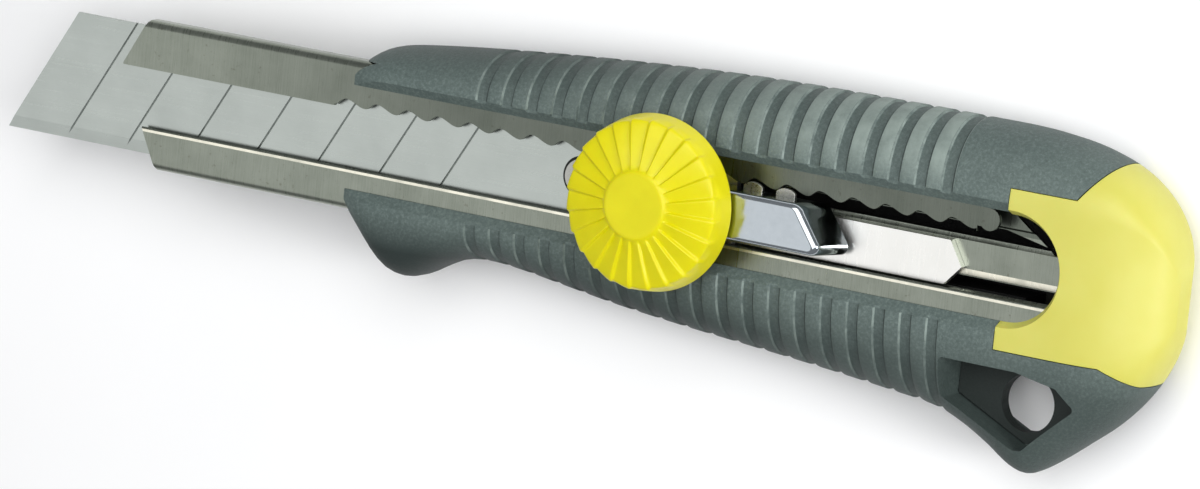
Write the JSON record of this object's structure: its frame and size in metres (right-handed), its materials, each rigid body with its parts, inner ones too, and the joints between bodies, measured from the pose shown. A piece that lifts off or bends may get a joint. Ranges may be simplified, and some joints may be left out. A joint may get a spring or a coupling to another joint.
{
  "type": "snap-off utility knife",
  "caption": "Wide snap-off blade in a folded steel rail, a grooved moulded handle with a lanyard hole and pull-off end cap, and a screw-down thumb wheel that locks the blade.",
  "frame": {"origin": "on the flat back face of the handle, on the centre line of the blade rail, under the axis of the thumb wheel", "axes": "+X along the rail towards the end cap, +Y from the cutting edge to the spine, +Z out of the front face towards the thumb wheel"},
  "size_m": [0.1829, 0.0458, 0.0256],
  "materials": {
    "grip_plastic": "finely textured moulding",
    "cap_plastic": "smooth moulding",
    "wheel_plastic": "smooth moulding",
    "rail_steel": "brushed across the rail",
    "blade_steel": "fine ground",
    "carrier_steel": "bright",
    "pin_steel": "turned",
    "plated_steel": "bright plated",
    "spring_steel": "blued",
    "screw_steel": "zinc plated",
    "brass": "turned"
  },
  "bodies": {
    "handle": {"upper_grip": "grip_plastic", "lower_grip": "grip_plastic", "rear_shell": "grip_plastic", "handle_screws": "screw_steel", "blade_rail": "rail_steel"},
    "cap": {"end_cap": "cap_plastic"},
    "slider": {"blade": "blade_steel", "blade_carrier": "carrier_steel", "blade_peg": "pin_steel", "clamp_stud": "pin_steel", "retaining_clip": "spring_steel", "lock_spring": "spring_steel"},
    "lock": {"lock_plate": "plated_steel", "lock_comb": "pin_steel", "thrust_washer": "brass"},
    "wheel": {"thumb_wheel": "wheel_plastic", "wheel_nut": "brass"}
  },
  "joints": [
    {"name": "blade_slide", "type": "slide", "parent": "handle", "child": "slider", "axis": [1, 0, 0], "range_m": [-0.06, 0.025]},
    {"name": "cap_pull", "type": "slide", "parent": "handle", "child": "cap", "axis": [1, 0, 0], "range_m": [0, 0.024]},
    {"name": "wheel_turn", "type": "hinge", "parent": "lock", "child": "wheel", "pos_m": [0, 0, 0.0215], "axis": [0, 0, 1], "range_deg": [-360, 0]},
    {"name": "lock_drop", "type": "slide", "parent": "slider", "child": "lock", "axis": [0, 0, 1], "range_m": [-0.0007, 0], "deforming": ["lock_spring"]}
  ],
  "couplings": [
    {"joint": "wheel_turn", "follows": "lock_drop", "rad_per_m": 8975.9}
  ]
}
